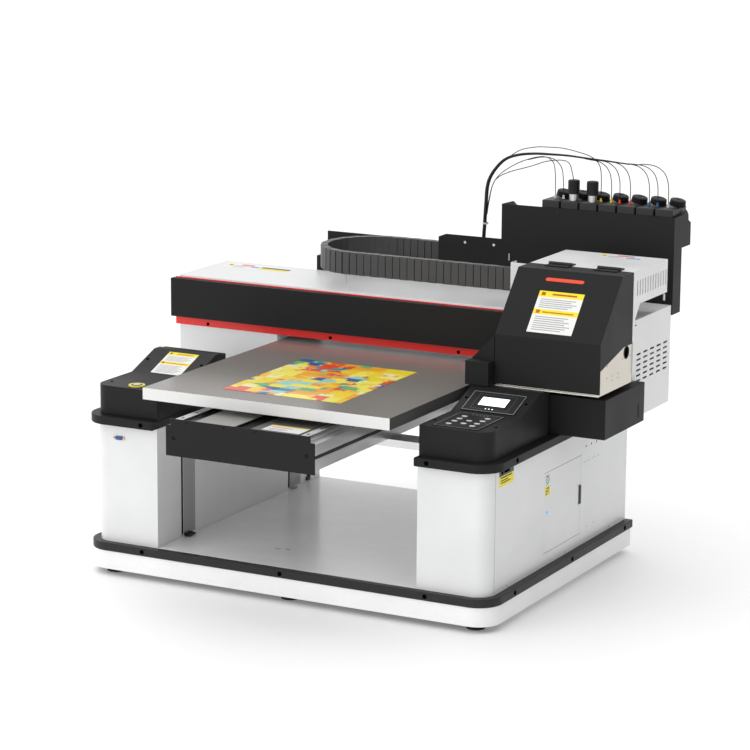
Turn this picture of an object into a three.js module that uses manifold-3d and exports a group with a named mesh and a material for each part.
// Flatbed UV printer: a fixed base with two cabinets and a gantry, a lifting bed frame,
// a bed that slides under the gantry and a print carriage that slides along it.
// Units are millimetres. X runs left to right, Y runs front to back from the front
// of the base, and Z is up from the floor. The machine's middle plane is X = 0.
// At the end the whole machine is shifted so that the middle of its box is over the origin.
import * as THREE from 'three';
import { mergeVertices } from 'three/addons/utils/BufferGeometryUtils.js';
import Module from 'manifold-3d';

const wasm = await Module();
wasm.setup();

// ---------------------------------------------------------------- driving dimensions
const GAP = 0.3; // air left between pieces that touch
const SHEET = 2.5; // folded sheet metal

const BASE = { halfWidth: 538, depth: 812, corner: 60, bandBottom: 60.5, bandTop: 80.2 };
const PLINTH = { inset: 4, bottom: 15 };
const FLOOR_PLATE_THICK = 4;
const BAND_WIDTH = 20;
const FOOT = { radius: 22, padHeight: 10, studRadius: 7, x: 478, frontY: 50 };

const CABINET = { inner: 342, outer: 516.7, front: 21.5, corner: 35, top: 367.2 };
const SLOT = { width: 11, bottom: 84, top: 356, frontY: 133, rearY: 651 };
const RECESS = { length: 54, depth: 1.2 };
const SHOULDER = { bottom: 367.5, top: 387.6, cap: 3 };
const DOOR = { front: 325, rear: 533.5, bottom: 109, top: 300, gap: 1 };
const LATCH = { front: 521, rear: 531.5, bottom: 183, top: 228, thick: 2.5 };
const DOOR_RIB = { depth: 12, width: 10, fromFront: 30, fromEnds: 10 };

const CONSOLE = { front: 24.5, shelf: 457, slopeStart: 187, slopeEnd: 290, ridge: 496, edge: 4 };
const CONSOLE_REAR = { ridgeEnd: 314, step: 492, stepStart: 322, rear: 340 };
const BEZEL = { x0: 361.5, x1: 493.5, start: 196, end: 270.5, thick: 1.5 };
const WINDOW = { x0: 393, x1: 460.7, start: 219.8, end: 251.3, floor: 0.7 };
const KEYPAD = { x0: 366.5, x1: 481, y0: 36, y1: 183, thick: 1.2, corner: 5 };
const KEY = { length: 14, width: 8.5, height: 1.3, clearance: 0.4, lift: 1 };
const KEY_PLACES = [
  [397, 145], [397, 119], [397, 93], [397, 64],
  [426, 109], [426, 80],
  [454, 146], [454, 119], [454, 91], [454, 66],
];
const BUTTON = { x: -418.5, y: 56.5, radius: 12, below: 12, above: 7, chamfer: 1.5, clearance: 1 };
const COLLAR = { radius: 20.5, height: 3, chamfer: 1 };
const PORT = { x: -446.5, z: 335, width: 31, height: 13, flange: 1.5 };
const PORT_BODY = { halfWidth: 9, halfHeight: 4, depth: 7 };

const PILLAR = { inner: 333.7, outer: 618, outerRight: 622.5, front: 575, rear: 811, bottom: 387.9, top: 520 };
const BEAM = { half: 614, front: 600, rear: 790, bottom: 520.3, top: 612, wall: 6 };
const BEAM_COVER = { top: 625, lip: 614, left: -615.2, right: 619.7 };
const FASCIA = { half: 633, front: 555, bottom: 520.5, top: 618.5, back: 572 };
const TRIM = { left: -629, right: 617.5, bottom: 498.5, top: 620.5, front: 573, thick: 2 };
const TRIM_WINDOW = { bottom: 519.5, top: 617.5 };
const RAIL_X = { half: 600, front: 582, bottom: 560, top: 580 };
const LOUVRE = { y0: 602, y1: 793, z0: 474, z1: 542, columns: 5, rows: 6, long: 26, high: 4.5 };

const BED = { half: 320, front: -73.6, rear: 857.6, bottom: 461.2, top: 488.8, skin: 6, rim: 12 };
const LIFT = { barFront: 172, barDepth: 60, barBottom: 358, barTop: 376, barHalf: 338 };
const LUG = { width: 20, tongue: 356, tongueThick: 8, bottom: 320, top: 352 };
const BED_CENTRE = (BED.front + BED.rear) / 2;
const RAIL_Y = { front: -175, rear: 959, x: 161.5, width: 20, top: 452 };
const PROFILE = { outer: 191.5, size: 60, bottom: 376.3 };
const T_SLOT = { halfMouth: 4.1, lip: 4.5, halfWide: 8, deep: 13 };
const END_PLATE = { front: -181, thick: 3, half: 191.5, topHalf: 180 };
const END_PLATE_HEIGHTS = { bottom: 367.5, shoulder: 439, top: 453.5 };
const DRIVE_COVER = { bottom: 396.3, top: 445, wall: 3, rear: 939 };
const SADDLE = { spacing: 160, length: 80, width: 44, bottom: 440.3, clearance: 0.6 };
const CROSS_PLATE = { half: 185, thick: 4, spineHalf: 30 };

const CARRIAGE = { left: 387, right: 650, front: 320, rear: 512, bottom: 495.3, top: 754.4 };
const FRAME_SIDE = { top: 588, nose: 555, slopeEnd: 459, floor: 5.2 };
const HEAD_OPENING = { left: 435, right: 595, front: 355, rear: 475 };
const CABLE_HOLE = { radius: 14, y: 477, z: 571.7 };
const COVER = { sheet: 2.2, knee: 616.5, brow: 441, back: 504.8, frontBottom: 500.8, sideGap: 0.5 };
const COVER_AXIS = { y: 505.2, z: 758.3, radius: 3.4, leafFront: 480, leaf: 2.5 };
const HINGES = [[436, 494], [559, 617]];
const REAR_COVER = { front: 505.8, rear: 712, bottom: 675, lip: 5 };
const COVER_TAIL = { front: 512.4, rear: 520, bottom: 516, shoulder: 590, top: 643, hip: 547 };
const CHAIN_BRACKET = { front: 585, thick: 2.2, rear: 614, bottom: 662, top: 735, tab: 3 };
const VENT = { count: 12, y0: 530, y1: 703, z0: 695, z1: 731, width: 5.5 };
const HANGER = { left: 430, right: 610, bottom: 507, shelfTop: 513, top: 600, front: 560, thick: 6 };
const GUIDE_BLOCK = { bottom: 552, top: 588, clearance: 0.6, spans: [[440, 500], [540, 600]] };
const HEADS = { left: 440, right: 590, front: 360, rear: 470, bottom: 494, top: 545 };
const HEAD_PLATE = { margin: 10, overhang: 8, lift: 5.5, top: 520 };
const LAMP = { left: 326, right: 385, front: 290, rear: 470, bottom: 498, top: 553, wedge: 613 };
const STATION = { left: 384, right: 650, front: 356, rear: 573, bottom: 387.9, top: 481 };
const STATION_TAIL = { left: 623, rear: 589 };
const STATION_TOP = { left: 425, right: 605, front: 375, rear: 520, depth: 5 };
const STATION_SLOT = { front: 549.5, rear: 554.5, bottom: 403.5, top: 436, depth: 4 };

const CHAIN = { width: 18, bottom: 665, top: 722, frontY: 596.5, rearY: 850.5 };
const CHAIN_ENDS = { bend: -137, fixed: 60, moving: 299.7 };
const TRAY = { left: -352, foot: 600, drop: 2.5, margin: 12, rim: 4, beyond: 40 };
const RACK = { front: 812, left: 168, right: 625, foot: 600, bottom: 757, top: 836, flangeRear: 862.5 };
const RACK_TAB = { left: -5, top: 748, chamferX: 20, chamferZ: 8 };
const RACK_CHEEK = [[918, 757], [917, 812], [902, 819.5], [900.5, 833.5], [888, 846], [863, 838]];
const RACK_LEFT_CHEEK = [[918, 757], [917, 812], [904, 818], [877, 834]];
const RACK_LIP = { inset: 20, height: 50, gap: 0.5 };
const TANK = { left: 274, pitch: 49.5, width: 46, front: 816, rear: 905, top: 854, count: 7, strip: 8 };
const CAP = { radius: 20.5, height: 16, lift: 6, shiftX: 9, y: 880, leanRight: 0.2, leanFront: 0.06 };
const STIRRER = {
  y: 836, shiftX: 3.5, radius: 11.2, baseHeight: 17, bodyRadius: 14.5, height: 51.5, tanks: [1, 2],
};

// ---------------------------------------------------------------- finishes
const finish = (color, roughness, metalness) =>
  new THREE.MeshStandardMaterial({ color, roughness, metalness });
const whitePaint = () => finish(0xeeeff0, 0.45, 0.1);
const blackPaint = () => finish(0x2b2b2d, 0.5, 0.2);
const redPaint = () => finish(0xd3201f, 0.4, 0.1);
const aluminium = () => finish(0xb9b9b8, 0.35, 0.9);
const steel = () => finish(0x9fa1a3, 0.3, 1.0);
const stainless = () => finish(0xb5b0a4, 0.32, 1.0);
const bedMetal = () => finish(0x9c9790, 0.42, 0.8);
const blackPlastic = () => finish(0x1c1c1e, 0.55, 0.0);
const greyPlastic = () => finish(0x4a4a4b, 0.6, 0.0);
const keyPlastic = () => finish(0xc9ccd0, 0.5, 0.0);
const yellowPlastic = () => finish(0xe5d51f, 0.45, 0.0);
const bluePlastic = () => finish(0x2f6ea8, 0.45, 0.0);
const rubber = () => finish(0x151515, 0.8, 0.0);

// ---------------------------------------------------------------- shapes and solids
function box([x0, x1], [y0, y1], [z0, z1]) {
  const geometry = new THREE.BoxGeometry(x1 - x0, y1 - y0, z1 - z0);
  return geometry.translate((x0 + x1) / 2, (y0 + y1) / 2, (z0 + z1) / 2);
}

function outline(points) {
  return new THREE.Shape(points.map(([a, b]) => new THREE.Vector2(a, b)));
}

// A rectangle whose four corners have their own radii: front left, front right, rear right, rear left.
function roundedRectangle([x0, x1], [y0, y1], [fl, fr, rr, rl]) {
  const shape = new THREE.Shape();
  shape.moveTo(x0 + fl, y0);
  shape.lineTo(x1 - fr, y0);
  if (fr) shape.absarc(x1 - fr, y0 + fr, fr, -Math.PI / 2, 0);
  shape.lineTo(x1, y1 - rr);
  if (rr) shape.absarc(x1 - rr, y1 - rr, rr, 0, Math.PI / 2);
  shape.lineTo(x0 + rl, y1);
  if (rl) shape.absarc(x0 + rl, y1 - rl, rl, Math.PI / 2, Math.PI);
  shape.lineTo(x0, y0 + fl);
  if (fl) shape.absarc(x0 + fl, y0 + fl, fl, Math.PI, Math.PI * 1.5);
  return shape;
}

const extrude = (shape, depth, curveSegments = 8) =>
  new THREE.ExtrudeGeometry(shape, { depth, bevelEnabled: false, curveSegments });

const upright = (shape, [z0, z1], segments) => extrude(shape, z1 - z0, segments).translate(0, 0, z0);

// The shape is drawn in Y and Z and runs along X.
function alongX(shape, [x0, x1]) {
  return extrude(shape, x1 - x0).rotateX(Math.PI / 2).rotateZ(Math.PI / 2).translate(x0, 0, 0);
}

// The shape is drawn in X and Z and runs along Y.
function alongY(shape, [y0, y1]) {
  return extrude(shape, y1 - y0).rotateX(Math.PI / 2).translate(0, y1, 0);
}

function upPost(radius, [z0, z1], x, y, sides = 24) {
  return new THREE.CylinderGeometry(radius, radius, z1 - z0, sides).rotateX(Math.PI / 2)
    .translate(x, y, (z0 + z1) / 2);
}

function turned(points, x, y, sides = 24) {
  const profile = points.map(([r, z]) => new THREE.Vector2(r, z));
  return new THREE.LatheGeometry(profile, sides).rotateX(Math.PI / 2).translate(x, y, 0);
}

function toSolid(geometry) {
  const bare = geometry.clone();
  bare.deleteAttribute('normal');
  bare.deleteAttribute('uv');
  const welded = mergeVertices(bare, 1e-4);
  const mesh = new wasm.Mesh({
    numProp: 3,
    vertProperties: Float32Array.from(welded.attributes.position.array),
    triVerts: Uint32Array.from(welded.index.array),
  });
  return new wasm.Manifold(mesh);
}

function toGeometry(solid) {
  const mesh = solid.getMesh();
  const geometry = new THREE.BufferGeometry();
  geometry.setAttribute('position', new THREE.BufferAttribute(Float32Array.from(mesh.vertProperties), 3));
  geometry.setIndex(new THREE.BufferAttribute(Uint32Array.from(mesh.triVerts), 1));
  return geometry;
}

const join = (...pieces) => toGeometry(pieces.map(toSolid).reduce((sum, piece) => sum.add(piece)));
const cut = (body, ...tools) =>
  toGeometry(tools.map(toSolid).reduce((rest, tool) => rest.subtract(tool), toSolid(body)));
const common = (a, b) => toGeometry(toSolid(a).intersect(toSolid(b)));

function part(name, material, geometry, parent) {
  const mesh = new THREE.Mesh(geometry, material);
  mesh.name = name;
  parent.add(mesh);
}

const mirrored = ([a, b], side) => (side > 0 ? [a, b] : [-b, -a]);
const SIDES = [['left', -1], ['right', 1]];

// ---------------------------------------------------------------- base
const printer = new THREE.Group();
const base = new THREE.Group();
printer.add(base);

// The base is rounded at its two front corners and square at the rear.
const baseOutline = (inset, rear = BASE.depth - inset) => roundedRectangle(
  [-BASE.halfWidth + inset, BASE.halfWidth - inset],
  [inset, rear],
  [BASE.corner - inset, BASE.corner - inset, 0, 0],
);

function addBase() {
  const plinthTop = BASE.bandBottom - GAP;
  part('base_plinth', whitePaint(), cut(
    upright(baseOutline(PLINTH.inset), [PLINTH.bottom, plinthTop]),
    upright(baseOutline(PLINTH.inset + SHEET), [PLINTH.bottom - 1, plinthTop - SHEET]),
  ), base);
  part('base_trim_band', blackPaint(), cut(
    upright(baseOutline(0), [BASE.bandBottom, BASE.bandTop]),
    upright(baseOutline(BAND_WIDTH, BASE.depth + 1), [BASE.bandBottom - 1, BASE.bandTop + 1]),
  ), base);
  const plateBottom = BASE.bandTop - FLOOR_PLATE_THICK;
  const plate = upright(baseOutline(BAND_WIDTH + GAP, BASE.depth), [plateBottom, BASE.bandTop]);
  part('base_floor_plate', whitePaint(), plate, base);

  const footTop = plinthTop - SHEET - GAP;
  const profile = [[0, 0], [FOOT.radius, 0], [FOOT.radius, FOOT.padHeight * 0.6],
    [FOOT.studRadius, FOOT.padHeight], [FOOT.studRadius, footTop], [0, footTop]];
  for (const [side, sign] of SIDES) {
    for (const [end, y] of [['front', FOOT.frontY], ['rear', BASE.depth - FOOT.frontY]]) {
      part(`levelling_foot_${end}_${side}`, rubber(), turned(profile, sign * FOOT.x, y), base);
    }
  }
}

// ---------------------------------------------------------------- cabinets
function cabinetShell(sign) {
  const rear = BASE.depth;
  const z = [BASE.bandTop + GAP, CABINET.top];
  const corners = sign > 0 ? [0, 1, 0, 0] : [1, 0, 0, 0];
  const shell = (inset) => roundedRectangle(
    mirrored([CABINET.inner + inset, CABINET.outer - inset], sign),
    [CABINET.front + inset, rear - inset],
    corners.map((round) => round * (CABINET.corner - inset)),
  );
  const across = mirrored([CABINET.inner - 1, CABINET.inner + SHEET + 1], sign);
  const pocket = mirrored([CABINET.inner - 1, CABINET.inner + RECESS.depth], sign);
  const tools = [upright(shell(SHEET), [z[0] - 1, z[1] + 1])];
  for (const y of [SLOT.frontY, SLOT.rearY]) {
    const slot = [y - SLOT.width / 2, y + SLOT.width / 2];
    tools.push(box(across, slot, [SLOT.bottom, SLOT.top]));
    tools.push(box(pocket, [slot[1] - 1, slot[1] + RECESS.length], [SLOT.bottom, SLOT.top]));
  }
  if (sign > 0) {
    const opening = [DOOR.front - DOOR.gap, DOOR.rear + DOOR.gap];
    const height = [DOOR.bottom - DOOR.gap, DOOR.top + DOOR.gap];
    tools.push(box([CABINET.outer - SHEET - 1, CABINET.outer + 1], opening, height));
  }
  return cut(upright(shell(0), z), ...tools);
}

function shoulderBand(sign) {
  const corners = sign > 0 ? [0, 1, 0, 0] : [1, 0, 0, 0];
  const shape = (inset) => roundedRectangle(
    mirrored([CABINET.inner + inset, BASE.halfWidth - inset], sign),
    [inset, BASE.depth - inset],
    corners.map((round) => round * (BASE.corner - inset)),
  );
  return cut(
    upright(shape(0), [SHOULDER.bottom, SHOULDER.top]),
    upright(shape(CABINET.front), [SHOULDER.bottom - 1, SHOULDER.top - SHOULDER.cap]),
  );
}

function addCabinets() {
  for (const [side, sign] of SIDES) {
    part(`${side}_cabinet`, whitePaint(), cabinetShell(sign), base);
    part(`${side}_shoulder_band`, blackPaint(), shoulderBand(sign), base);
  }
  const face = CABINET.front - GAP;
  part('data_port', bluePlastic(), join(
    box([PORT.x - PORT.width / 2, PORT.x + PORT.width / 2], [face - PORT.flange, face],
      [PORT.z - PORT.height / 2, PORT.z + PORT.height / 2]),
    box([PORT.x - PORT_BODY.halfWidth, PORT.x + PORT_BODY.halfWidth], [face - PORT_BODY.depth, face - 1],
      [PORT.z - PORT_BODY.halfHeight, PORT.z + PORT_BODY.halfHeight]),
  ), base);
}

function addDoor() {
  const sheet = box([CABINET.outer - SHEET, CABINET.outer], [DOOR.front, DOOR.rear], [DOOR.bottom, DOOR.top]);
  const ribFront = DOOR.front + DOOR_RIB.fromFront;
  const stiffener = box([CABINET.outer - DOOR_RIB.depth, CABINET.outer - SHEET + 1],
    [ribFront, ribFront + DOOR_RIB.width], [DOOR.bottom + DOOR_RIB.fromEnds, DOOR.top - DOOR_RIB.fromEnds]);
  part('cabinet_door', whitePaint(), join(sheet, stiffener), base);
  const face = CABINET.outer + GAP;
  part('door_latch', blackPlastic(), box([face, face + LATCH.thick],
    [LATCH.front, LATCH.rear], [LATCH.bottom, LATCH.top]), base);
}

// ---------------------------------------------------------------- consoles
function consoleProfile(inset) {
  const { front, shelf, slopeStart, slopeEnd, ridge } = CONSOLE;
  const { ridgeEnd, step, stepStart, rear } = CONSOLE_REAR;
  const foot = SHOULDER.top + GAP - (inset ? 1 : 0);
  return outline([
    [front + inset, foot], [rear - inset, foot], [rear - inset, step - inset],
    [stepStart, step - inset], [ridgeEnd, ridge - inset], [slopeEnd, ridge - inset],
    [slopeStart, shelf - inset], [front + inset, shelf - inset],
  ]);
}

function consoleBody(sign, holes) {
  const { front, edge, ridge } = CONSOLE;
  const { rear } = CONSOLE_REAR;
  const x = mirrored([CABINET.inner, CABINET.outer], sign);
  const inside = mirrored([CABINET.inner + SHEET, CABINET.outer - SHEET], sign);
  const corners = sign > 0 ? [edge, CABINET.corner, edge, edge] : [CABINET.corner, edge, edge, edge];
  const innerCorners = corners.map((radius) => Math.max(radius - SHEET, 1));
  const height = [SHOULDER.bottom, ridge + SHEET];
  const plan = upright(roundedRectangle(x, [front, rear], corners), height);
  const innerPlan = upright(roundedRectangle(inside, [front + SHEET, rear - SHEET], innerCorners), height);
  const outside = common(alongX(consoleProfile(0), x), plan);
  const hollow = common(alongX(consoleProfile(SHEET), inside), innerPlan);
  return cut(outside, hollow, ...holes);
}

// The display frame lies on the sloping face of the right console.
function displayBezel() {
  const rise = CONSOLE.ridge - CONSOLE.shelf;
  const run = CONSOLE.slopeEnd - CONSOLE.slopeStart;
  const tilt = Math.atan2(rise, run);
  const up = (y) => (y - CONSOLE.slopeStart) / Math.cos(tilt);
  const frame = cut(
    box([BEZEL.x0, BEZEL.x1], [up(BEZEL.start), up(BEZEL.end)], [GAP, GAP + BEZEL.thick]),
    box([WINDOW.x0, WINDOW.x1], [up(WINDOW.start), up(WINDOW.end)],
      [GAP + WINDOW.floor, GAP + 2 * BEZEL.thick]),
  );
  return frame.rotateX(tilt).translate(0, CONSOLE.slopeStart, CONSOLE.shelf);
}

function keyShape(extra) {
  const halfLength = KEY.length / 2 + extra;
  const halfWidth = KEY.width / 2 + extra;
  const corner = 0.99 * halfWidth;
  return roundedRectangle([-halfLength, halfLength], [-halfWidth, halfWidth], Array(4).fill(corner));
}

function addConsoles() {
  const { x, y, radius, clearance } = BUTTON;
  const buttonHole = upPost(radius + clearance, [CONSOLE.shelf - BUTTON.below, CONSOLE.shelf + 1], x, y);
  part('left_console', blackPaint(), consoleBody(-1, [buttonHole]), base);
  part('right_console', blackPaint(), consoleBody(1, []), base);
  part('display_bezel', blackPlastic(), displayBezel(), base);
  addKeypad(CONSOLE.shelf + GAP);
  addStartButton(CONSOLE.shelf + GAP);
}

function addKeypad(bottom) {
  const corners = Array(4).fill(KEYPAD.corner);
  const shape = roundedRectangle([KEYPAD.x0, KEYPAD.x1], [KEYPAD.y0, KEYPAD.y1], corners);
  const panel = upright(shape, [bottom, bottom + KEYPAD.thick]);
  const through = [bottom - 1, bottom + KEYPAD.thick + 1];
  const keyBottom = bottom + KEY.lift;
  const sockets = KEY_PLACES.map(([x, y]) => upright(keyShape(KEY.clearance), through, 3).translate(x, y, 0));
  part('keypad_panel', blackPlastic(), cut(panel, ...sockets), base);
  KEY_PLACES.forEach(([x, y], index) => {
    const key = upright(keyShape(0), [keyBottom, keyBottom + KEY.height], 3);
    part(`key_${index + 1}`, keyPlastic(), key.translate(x, y, 0), base);
  });
}

function addStartButton(bottom) {
  const { x, y, radius, below, above, chamfer, clearance } = BUTTON;
  const inner = radius + clearance;
  const collarTop = bottom + COLLAR.height;
  part('button_collar', yellowPlastic(), turned([
    [inner, bottom], [COLLAR.radius, bottom], [COLLAR.radius - COLLAR.chamfer, collarTop],
    [inner, collarTop], [inner, bottom],
  ], x, y), base);
  part('start_button', keyPlastic(), turned([
    [0, bottom - below], [radius, bottom - below], [radius, bottom + above - chamfer],
    [radius - chamfer, bottom + above], [0, bottom + above],
  ], x, y), base);
}

// ---------------------------------------------------------------- gantry
function louvres(outer) {
  const slots = [];
  for (let column = 0; column < LOUVRE.columns; column++) {
    for (let row = 0; row < LOUVRE.rows; row++) {
      const y = LOUVRE.y0 + ((LOUVRE.y1 - LOUVRE.y0 - LOUVRE.long) * column) / (LOUVRE.columns - 1);
      const z = LOUVRE.z0 + ((LOUVRE.z1 - LOUVRE.z0 - LOUVRE.high) * row) / (LOUVRE.rows - 1);
      const through = [outer - SHEET - 1, outer + 1];
      slots.push(box(through, [y, y + LOUVRE.long], [z, z + LOUVRE.high]));
    }
  }
  return slots;
}

function pillar(sign) {
  const outer = sign > 0 ? PILLAR.outerRight : PILLAR.outer;
  const y = [PILLAR.front, PILLAR.rear];
  const body = box(mirrored([PILLAR.inner, outer], sign), y, [PILLAR.bottom, PILLAR.top]);
  const hollow = box(mirrored([PILLAR.inner + SHEET, outer - SHEET], sign),
    [y[0] + SHEET, y[1] - SHEET], [PILLAR.bottom + SHEET, PILLAR.top + 1]);
  const endPlate = box(mirrored([outer - SHEET, outer], sign), y, [PILLAR.bottom, BEAM_COVER.top]);
  const shift = sign > 0 ? 0 : -2 * outer + SHEET;
  const vents = louvres(outer).map((slot) => slot.translate(shift, 0, 0));
  return cut(join(cut(body, hollow), endPlate), ...vents);
}

function addGantry() {
  for (const [side, sign] of SIDES) part(`${side}_pillar`, whitePaint(), pillar(sign), base);
  const tube = (inset) => outline([
    [BEAM.front + inset, BEAM.bottom + inset], [BEAM.rear - inset, BEAM.bottom + inset],
    [BEAM.rear - inset, BEAM.top - inset], [BEAM.front + inset, BEAM.top - inset]]);
  part('gantry_beam', aluminium(), cut(
    alongX(tube(0), [-BEAM.half, BEAM.half]),
    alongX(tube(BEAM.wall), [-BEAM.half - 1, BEAM.half + 1]),
  ), base);

  const { top, lip, left, right } = BEAM_COVER;
  const front = PILLAR.front + 0.5;
  const rear = PILLAR.rear;
  const foot = PILLAR.top + GAP;
  part('beam_top_cover', whitePaint(), alongX(outline([
    [front, lip], [front + SHEET, lip], [front + SHEET, top - SHEET], [rear - SHEET, top - SHEET],
    [rear - SHEET, foot], [rear, foot], [rear, top], [front, top],
  ]), [left, right]), base);

  const inner = FASCIA.front + SHEET;
  part('beam_front_cover', blackPaint(), alongX(outline([
    [FASCIA.front, FASCIA.bottom], [inner, FASCIA.bottom], [inner, FASCIA.top - SHEET],
    [FASCIA.back, FASCIA.top - SHEET], [FASCIA.back, FASCIA.top], [FASCIA.front, FASCIA.top],
  ]), [-FASCIA.half, FASCIA.half]), base);

  const trimBack = TRIM.front + TRIM.thick;
  part('beam_red_trim', redPaint(), cut(
    box([TRIM.left, TRIM.right], [TRIM.front, trimBack], [TRIM.bottom, TRIM.top]),
    box([-BEAM.half, BEAM.half], [TRIM.front - 1, trimBack + 1], [TRIM_WINDOW.bottom, TRIM_WINDOW.top]),
  ), base);

  part('x_rail', steel(), box([-RAIL_X.half, RAIL_X.half], [RAIL_X.front, BEAM.front - GAP],
    [RAIL_X.bottom, RAIL_X.top]), base);
}

// ---------------------------------------------------------------- bed lift and bed
const lift = new THREE.Group();
printer.add(lift);

function liftBar(barFront, slotY) {
  const bar = box([-LIFT.barHalf, LIFT.barHalf], [barFront, barFront + LIFT.barDepth],
    [LIFT.barBottom, LIFT.barTop]);
  const arms = SIDES.flatMap(([, sign]) => {
    const near = slotY - LUG.tongueThick / 2;
    const far = slotY + LUG.tongueThick / 2;
    const reach = [Math.min(near, barFront + 1), Math.max(far, barFront + LIFT.barDepth - 1)];
    return [
      box(mirrored([LIFT.barHalf - LUG.width, LIFT.barHalf], sign), reach, [LUG.bottom, LIFT.barTop]),
      box(mirrored([LIFT.barHalf - LUG.width, LUG.tongue], sign), [near, far], [LUG.bottom, LUG.top]),
    ];
  });
  return join(bar, ...arms);
}

// A square extrusion with a T-slot in each of its four faces.
function slottedProfile(sign) {
  const half = PROFILE.size / 2;
  const { halfMouth, lip, halfWide, deep } = T_SLOT;
  const quarter = [
    [-half, -half], [-halfMouth, -half], [-halfMouth, -half + lip], [-halfWide, -half + lip],
    [-halfWide, -half + deep], [halfWide, -half + deep], [halfWide, -half + lip],
    [halfMouth, -half + lip], [halfMouth, -half],
  ];
  const points = [];
  for (let turn = 0; turn < 4; turn++) {
    const angle = (turn * Math.PI) / 2;
    for (const [x, z] of quarter) {
      points.push([x * Math.cos(angle) - z * Math.sin(angle), x * Math.sin(angle) + z * Math.cos(angle)]);
    }
  }
  const y = [END_PLATE.front + END_PLATE.thick + GAP, 2 * BED_CENTRE - END_PLATE.front];
  return alongY(outline(points), y)
    .translate(sign * (PROFILE.outer - half), 0, PROFILE.bottom + half);
}

function addLift() {
  const rearBar = 2 * BED_CENTRE - LIFT.barFront - LIFT.barDepth;
  part('lift_bar_front', aluminium(), liftBar(LIFT.barFront, SLOT.frontY), lift);
  part('lift_bar_rear', aluminium(), liftBar(rearBar, SLOT.rearY), lift);
  for (const [side, sign] of SIDES) {
    part(`bed_profile_${side}`, aluminium(), slottedProfile(sign), lift);
    const half = RAIL_Y.width / 2;
    part(`bed_rail_${side}`, steel(), box(
      [sign * RAIL_Y.x - half, sign * RAIL_Y.x + half], [RAIL_Y.front, RAIL_Y.rear],
      [PROFILE.bottom + PROFILE.size + GAP, RAIL_Y.top]), lift);
  }
  const { front, thick, half, topHalf } = END_PLATE;
  const { bottom, shoulder, top } = END_PLATE_HEIGHTS;
  part('bed_front_plate', blackPaint(), alongY(outline([
    [-half, bottom], [half, bottom], [half, shoulder], [topHalf, shoulder], [topHalf, top],
    [-topHalf, top], [-topHalf, shoulder], [-half, shoulder],
  ]), [front, front + thick]), lift);
  const { wall, rear } = DRIVE_COVER;
  const outer = PROFILE.outer - PROFILE.size - GAP;
  part('bed_drive_cover', greyPlastic(), cut(
    box([-outer, outer], [front + thick + GAP, rear], [DRIVE_COVER.bottom, DRIVE_COVER.top]),
    box([-outer + wall, outer - wall], [front, rear + 1], [DRIVE_COVER.bottom - 1, DRIVE_COVER.top - wall]),
  ), lift);
}

const bed = new THREE.Group();
lift.add(bed);

function addBed() {
  const x = [-BED.half, BED.half];
  const y = [BED.front, BED.rear];
  const pocketX = [x[0] + BED.rim, x[1] - BED.rim];
  const ribHalf = SADDLE.length / 2;
  const ribs = [BED_CENTRE - SADDLE.spacing, BED_CENTRE + SADDLE.spacing];
  const bays = [
    [y[0] + BED.rim, ribs[0] - ribHalf],
    [ribs[0] + ribHalf, ribs[1] - ribHalf],
    [ribs[1] + ribHalf, y[1] - BED.rim],
  ];
  part('vacuum_bed', bedMetal(), cut(
    box(x, y, [BED.bottom, BED.top]),
    ...bays.map((bay) => box(pocketX, bay, [BED.bottom - 1, BED.top - BED.skin])),
  ), bed);

  const crossPlate = [BED.bottom - GAP - CROSS_PLATE.thick, BED.bottom - GAP];
  const groove = RAIL_Y.width / 2 + SADDLE.clearance;
  const rows = ribs.flatMap((centre) => {
    const along = [centre - ribHalf + 2, centre + ribHalf - 2];
    const blocks = SIDES.map(([, sign]) => cut(
      box([sign * RAIL_Y.x - SADDLE.width / 2, sign * RAIL_Y.x + SADDLE.width / 2], along,
        [SADDLE.bottom, crossPlate[0] + 1]),
      box([sign * RAIL_Y.x - groove, sign * RAIL_Y.x + groove], [along[0] - 1, along[1] + 1],
        [0, RAIL_Y.top + SADDLE.clearance]),
    ));
    return [...blocks, box([-CROSS_PLATE.half, CROSS_PLATE.half], along, crossPlate)];
  });
  const spine = box([-CROSS_PLATE.spineHalf, CROSS_PLATE.spineHalf], ribs, crossPlate);
  part('bed_slide_frame', aluminium(), join(spine, ...rows), bed);
}

// ---------------------------------------------------------------- print carriage
const carriage = new THREE.Group();
printer.add(carriage);

function carriageFrame() {
  const { left, right, front, rear, bottom } = CARRIAGE;
  const { top, nose, slopeEnd } = FRAME_SIDE;
  const x = [left + SHEET, right - SHEET];
  const y = [front + SHEET + GAP, rear];
  const floorTop = bottom + FRAME_SIDE.floor;
  const floor = cut(
    box(x, [front, rear], [bottom, floorTop]),
    box([HEAD_OPENING.left, HEAD_OPENING.right], [HEAD_OPENING.front, HEAD_OPENING.rear],
      [bottom - 1, floorTop + 1]),
  );
  const back = box(x, [rear - SHEET, rear], [bottom, top]);
  const side = outline([[y[0], bottom], [y[1], bottom], [y[1], top], [slopeEnd, top], [y[0], nose]]);
  const leftSide = alongX(side, [x[0], x[0] + SHEET]);
  const cableHole = new THREE.CylinderGeometry(CABLE_HOLE.radius, CABLE_HOLE.radius, 4 * SHEET, 24)
    .rotateZ(Math.PI / 2).translate(x[1], CABLE_HOLE.y, CABLE_HOLE.z);
  const rightSide = cut(alongX(side, [x[1] - SHEET, x[1]]), cableHole);
  return join(floor, back, leftSide, rightSide, ...carriageHanger(rear));
}

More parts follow.
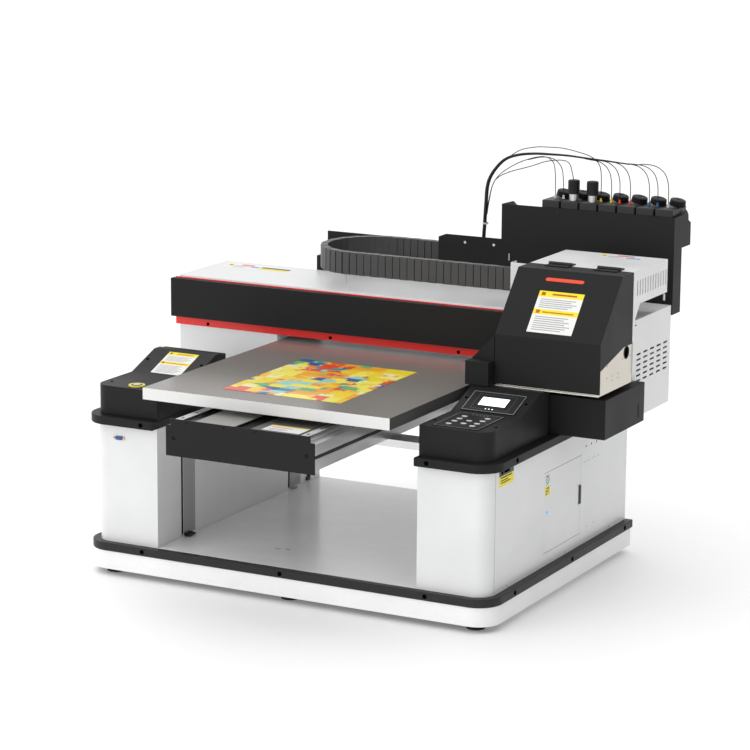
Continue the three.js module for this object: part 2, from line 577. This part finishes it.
// A shelf and a plate behind the carriage hold two blocks that run on the beam's rail.
function carriageHanger(rear) {
  const { left, right, bottom, shelfTop, top, front, thick } = HANGER;
  const shelf = box([left, right], [rear - 1, front + thick], [bottom, shelfTop]);
  const plate = box([left, right], [front, front + thick], [bottom, top]);
  const { clearance, spans } = GUIDE_BLOCK;
  const blocks = spans.map((span) => cut(
    box(span, [front + thick - 1, BEAM.front - 3], [GUIDE_BLOCK.bottom, GUIDE_BLOCK.top]),
    box([span[0] - 1, span[1] + 1], [RAIL_X.front - clearance, BEAM.front],
      [RAIL_X.bottom - clearance, RAIL_X.top + clearance]),
  ));
  return [shelf, plate, ...blocks];
}

function rearCover() {
  const { left, right, top } = CARRIAGE;
  const { front, rear, bottom, lip } = REAR_COVER;
  const tail = COVER_TAIL;
  const sheet = COVER.sheet;
  const side = outline([
    [front, top], [rear, top], [rear, bottom], [tail.hip, bottom], [tail.rear, tail.top],
    [tail.rear, tail.bottom], [tail.front, tail.bottom], [tail.front, tail.shoulder], [front, tail.shoulder],
  ]);
  const inside = [left + sheet, right - sheet];
  const pitch = (VENT.y1 - VENT.y0) / (VENT.count - 1);
  const vents = Array.from({ length: VENT.count }, (unused, index) => {
    const y = VENT.y0 + index * pitch;
    return box([left - 1, right + 1], [y - VENT.width / 2, y + VENT.width / 2], [VENT.z0, VENT.z1]);
  });
  const shell = cut(
    alongX(side, [left, right]),
    box(inside, [front + sheet, rear - sheet], [bottom + lip, top - sheet]),
    box(inside, [tail.hip + 3, rear - sheet], [bottom - 1, bottom + lip + 1]),
    box(inside, [front + sheet, tail.rear - SHEET], [tail.shoulder + SHEET, bottom + lip + 1]),
    ...vents,
  );
  return join(shell, ...chainBracket(left));
}

// A flat arm with a turned tab, where the moving end of the drag chain is screwed on.
function chainBracket(left) {
  const bracket = CHAIN_BRACKET;
  const start = CHAIN_ENDS.moving + GAP;
  const height = [bracket.bottom, bracket.top];
  return [
    box([start, left + 1], [bracket.front, bracket.front + bracket.thick], height),
    box([start, start + bracket.tab], [bracket.front, bracket.rear], height),
  ];
}

function frontCover() {
  const { left, right, front, top } = CARRIAGE;
  const { sheet, knee, brow, back, frontBottom, sideGap } = COVER;
  const noseBottom = FRAME_SIDE.nose - sideGap;
  const outer = outline([[front, frontBottom], [front + sheet, frontBottom], [front + sheet, noseBottom],
    [FRAME_SIDE.slopeEnd, FRAME_SIDE.top], [back, FRAME_SIDE.top - 1], [back, top], [brow, top],
    [front, knee]]);
  const inner = outline([[front + sheet, frontBottom - 5], [back + 5, frontBottom - 5],
    [back + 5, top - sheet], [brow + 1, top - sheet], [front + sheet, knee - 0.8]]);
  const shell = cut(alongX(outer, [left, right]), alongX(inner, [left + sheet, right - sheet]));
  const { y, z, radius, leafFront, leaf } = COVER_AXIS;
  const knuckles = HINGES.flatMap(([x0, x1]) => [
    new THREE.CylinderGeometry(radius, radius, x1 - x0, 16).rotateZ(Math.PI / 2)
      .translate((x0 + x1) / 2, y, z),
    box([x0, x1], [leafFront, y], [top - 0.5, top + leaf]),
  ]);
  return join(shell, ...knuckles);
}

function addCarriage() {
  part('carriage_frame', stainless(), carriageFrame(), carriage);
  part('carriage_rear_cover', whitePaint(), rearCover(), carriage);
  part('carriage_front_cover', blackPaint(), frontCover(), carriage);
  const { left, right, front, rear, bottom, top } = HEADS;
  const { margin, overhang, lift: plateLift, top: plateTop } = HEAD_PLATE;
  part('print_heads', blackPlastic(), join(
    box([left, right], [front, rear], [bottom, top]),
    box([left - margin, right + margin], [front - overhang, rear + overhang],
      [CARRIAGE.bottom + plateLift, plateTop]),
  ), carriage);
  const slope = outline([[LAMP.left, LAMP.top - 1], [LAMP.right, LAMP.top - 1], [LAMP.right, LAMP.wedge]]);
  part('uv_lamp', blackPlastic(), join(
    box([LAMP.left, LAMP.right], [LAMP.front, LAMP.rear], [LAMP.bottom, LAMP.top]),
    alongY(slope, [CARRIAGE.front + 1, LAMP.rear]),
  ), carriage);
}

function addStation() {
  const { left, right, front, rear, bottom, top } = STATION;
  const tail = STATION_TAIL;
  const well = STATION_TOP;
  const slot = STATION_SLOT;
  const plan = outline([
    [left, front], [right, front], [right, tail.rear], [tail.left, tail.rear], [tail.left, rear],
    [left, rear],
  ]);
  part('maintenance_station', blackPaint(), cut(
    upright(plan, [bottom, top]),
    box([left + SHEET, right - SHEET], [front + SHEET, rear - SHEET], [bottom + SHEET, top - SHEET]),
    box([well.left, well.right], [well.front, well.rear], [top - well.depth, top + 1]),
    box([right - slot.depth, right + 1], [slot.front, slot.rear], [slot.bottom, slot.top]),
  ), base);
}

// ---------------------------------------------------------------- ink supply and chain
function chainBand() {
  const half = CHAIN.width / 2;
  const centreY = (CHAIN.frontY + CHAIN.rearY) / 2;
  const radius = (CHAIN.rearY - CHAIN.frontY) / 2;
  const shape = new THREE.Shape();
  shape.moveTo(CHAIN_ENDS.moving, CHAIN.frontY + half);
  shape.lineTo(CHAIN_ENDS.bend, CHAIN.frontY + half);
  shape.absarc(CHAIN_ENDS.bend, centreY, radius - half, -Math.PI / 2, Math.PI / 2, true);
  shape.lineTo(CHAIN_ENDS.fixed, CHAIN.rearY - half);
  shape.lineTo(CHAIN_ENDS.fixed, CHAIN.rearY + half);
  shape.lineTo(CHAIN_ENDS.bend, CHAIN.rearY + half);
  shape.absarc(CHAIN_ENDS.bend, centreY, radius + half, Math.PI / 2, Math.PI * 1.5, false);
  shape.lineTo(CHAIN_ENDS.moving, CHAIN.frontY - half);
  return extrude(shape, CHAIN.top - CHAIN.bottom).translate(0, 0, CHAIN.bottom);
}

function guideTray() {
  const floor = [CHAIN.bottom - 2 * TRAY.drop, CHAIN.bottom - TRAY.drop];
  const rear = CHAIN.rearY + CHAIN.width / 2 + TRAY.margin;
  const back = PILLAR.rear + GAP;
  const rim = CHAIN.top - TRAY.rim;
  const inner = RACK.front + SHEET + GAP;
  const bracketed = alongX(outline([
    [back, TRAY.foot], [back + SHEET, TRAY.foot], [back + SHEET, floor[0]], [rear, floor[0]],
    [rear, rim], [rear - SHEET, rim], [rear - SHEET, floor[1]], [back, floor[1]],
  ]), [TRAY.left, RACK_TAB.left - 3]);
  const beyond = alongX(outline([
    [inner, floor[0]], [rear, floor[0]], [rear, rim], [rear - SHEET, rim],
    [rear - SHEET, floor[1]], [inner, floor[1]],
  ]), [RACK_TAB.left - 4, CHAIN_ENDS.fixed + TRAY.beyond]);
  return join(bracketed, beyond);
}

function inkRack() {
  const { front, left, right, foot, bottom, top, flangeRear } = RACK;
  const tab = RACK_TAB;
  const back = front + SHEET;
  const panel = alongY(outline([[tab.left, foot], [right, foot], [right, top], [left, top], [left, tab.top],
    [tab.left + tab.chamferX, tab.top], [tab.left, tab.top - tab.chamferZ]]), [front, back]);
  const flange = box([right - SHEET, right], [back - 1, flangeRear], [foot, bottom + 1]);
  const cheek = (points) => outline([[front, bottom], ...points, [front, top]]);
  const cheeks = [
    alongX(cheek(RACK_LEFT_CHEEK), [left, left + SHEET]),
    alongX(cheek(RACK_CHEEK), [right - SHEET, right]),
  ];
  const shelf = box([left, right], [back - 1, TANK.rear + SHEET + RACK_LIP.gap], [bottom, bottom + SHEET]);
  const lipFront = TANK.rear + RACK_LIP.gap;
  const rearLip = box([left + RACK_LIP.inset, right - RACK_LIP.inset], [lipFront, lipFront + SHEET],
    [bottom, bottom + RACK_LIP.height]);
  return join(panel, flange, ...cheeks, shelf, rearLip);
}

const tankCentre = (index) => TANK.left + TANK.width / 2 + index * TANK.pitch;

function tankBank() {
  const foot = RACK.bottom + SHEET + GAP;
  const stripEnd = TANK.left + (TANK.count - 1) * TANK.pitch + TANK.width;
  const strip = box([TANK.left, stripEnd], [TANK.front, TANK.rear], [foot, foot + TANK.strip]);
  const tanks = [];
  for (let index = 0; index < TANK.count; index++) {
    const x = tankCentre(index);
    tanks.push(box([x - TANK.width / 2, x + TANK.width / 2], [TANK.front, TANK.rear], [foot, TANK.top]));
    const cap = new THREE.CylinderGeometry(CAP.radius, CAP.radius, CAP.height, 20).rotateX(Math.PI / 2);
    tanks.push(cap.rotateY(CAP.leanRight).rotateX(CAP.leanFront)
      .translate(x + CAP.shiftX, CAP.y, TANK.top + CAP.lift));
  }
  return join(strip, ...tanks);
}

function tube(points, radius, steps, sides) {
  const route = new THREE.CatmullRomCurve3(points.map(([x, y, z]) => new THREE.Vector3(x, y, z)));
  const section = new THREE.Shape();
  for (let side = 0; side < sides; side++) {
    const angle = (2 * Math.PI * side) / sides;
    const move = side ? 'lineTo' : 'moveTo';
    section[move](radius * Math.cos(angle), radius * Math.sin(angle));
  }
  return new THREE.ExtrudeGeometry(section, { steps, extrudePath: route, bevelEnabled: false });
}

// The ink tubes leave the fixed end of the chain, rise in one sheath and fan out to the tanks.
const SHEATH = { radius: 5.5, steps: 40, sides: 8 };
const THIN = { radius: 1.6, steps: 18, sides: 6 };
const FITTING = { y: 852, z: 855, left: -3, right: 19 };
const TRUNK = [
  [CHAIN_ENDS.fixed + 2, 847, 694], [84, 847, 698], [101, 846, 722], [105, 846, 760], [107, 846, 798],
  [109, 846, 832], [112, 846, 871], [122, 846, 899], [143, 846, 927], [166, 846, 945], [201, 846, 956],
  [242, 846, 961], [283, 846, 962], [328, 846, 962], [377, 846, 959], [434, 846, 956], [490, 846, 952],
];
const HIGH_ARC = [
  [143, 846, 927], [166, 846, 945], [200, 846, 967], [241, 847, 977], [270, 847, 979], [311, 848, 979],
  [351, 848, 973], [388, 849, 963], [408, 850, 947], [415, 851, 920],
];
const LOW_ARC = [
  [112, 846, 800], [117, 846, 833], [126, 848, 876], [146, 849, 904], [183, 850, 929], [219, 851, 945],
  [256, 852, 954], [280, 853, 948], [291, 853, 925],
];
const LOW_BRANCH = [[219, 850, 944], [257, 850, 953], [288, 852, 950], [308, 852, 932], [314, 852, 905]];
const WIRE_ARC = [
  [112, 844, 800], [117, 843, 833], [128, 842, 876], [145, 841, 897], [178, 840, 913], [232, 839, 930],
  [274, 838, 945], [315, 837, 951], [336, 836, 945], [344, 836, 925],
];

// A thin tube that leaves the sheath a little before it turns down to its fitting.
function dropTo(x, leaveZ) {
  return [
    [x - 75, 847, leaveZ + 2], [x - 31, 848, leaveZ], [x - 10, 850, leaveZ - 16], [x - 1, 852, leaveZ - 44],
  ];
}

function tubeBundle() {
  const left = (index) => tankCentre(index) + FITTING.left;
  const right = (index) => tankCentre(index) + FITTING.right;
  const lines = [
    [LOW_ARC, left(0)], [LOW_BRANCH, right(0)], [HIGH_ARC, right(2)],
    [dropTo(left(3), 952), left(3)], [dropTo(right(3), 952), right(3)], [dropTo(left(4), 951), left(4)],
    [dropTo(left(5), 949), left(5)], [dropTo(right(5), 949), right(5)], [dropTo(left(6), 951), left(6)],
  ].map(([arc, x]) => tube([...arc, [x, FITTING.y, FITTING.z]], THIN.radius, THIN.steps, THIN.sides));
  const motorTop = TANK.top + GAP + STIRRER.height;
  const motor = [tankCentre(STIRRER.tanks[0]) + STIRRER.shiftX, STIRRER.y, motorTop + 2 * THIN.radius];
  const wire = tube([...WIRE_ARC, motor], THIN.radius, THIN.steps, THIN.sides);
  return join(tube(TRUNK, SHEATH.radius, SHEATH.steps, SHEATH.sides), ...lines, wire);
}

function addInkSupply() {
  part('ink_rack', blackPaint(), inkRack(), base);
  part('ink_tank_bank', blackPlastic(), tankBank(), base);
  const { radius, baseHeight, bodyRadius, height } = STIRRER;
  const foot = TANK.top + GAP;
  for (const index of STIRRER.tanks) {
    part(`stirrer_motor_${index}`, steel(), turned([
      [0, foot], [radius, foot], [radius, foot + baseHeight], [bodyRadius, foot + baseHeight + 1],
      [bodyRadius, foot + height - 2], [0, foot + height],
    ], tankCentre(index) + STIRRER.shiftX, STIRRER.y), base);
  }
  part('ink_tube_bundle', blackPlastic(), tubeBundle(), base);
  part('chain_guide_tray', blackPaint(), guideTray(), base);
  part('drag_chain', greyPlastic(), chainBand(), base);
}

addBase();
addCabinets();
addDoor();
addConsoles();
addGantry();
addStation();
addInkSupply();
addLift();
addBed();
addCarriage();

const middle = new THREE.Box3().setFromObject(printer).getCenter(new THREE.Vector3());
printer.position.set(-middle.x, -middle.y, 0);

export default printer;
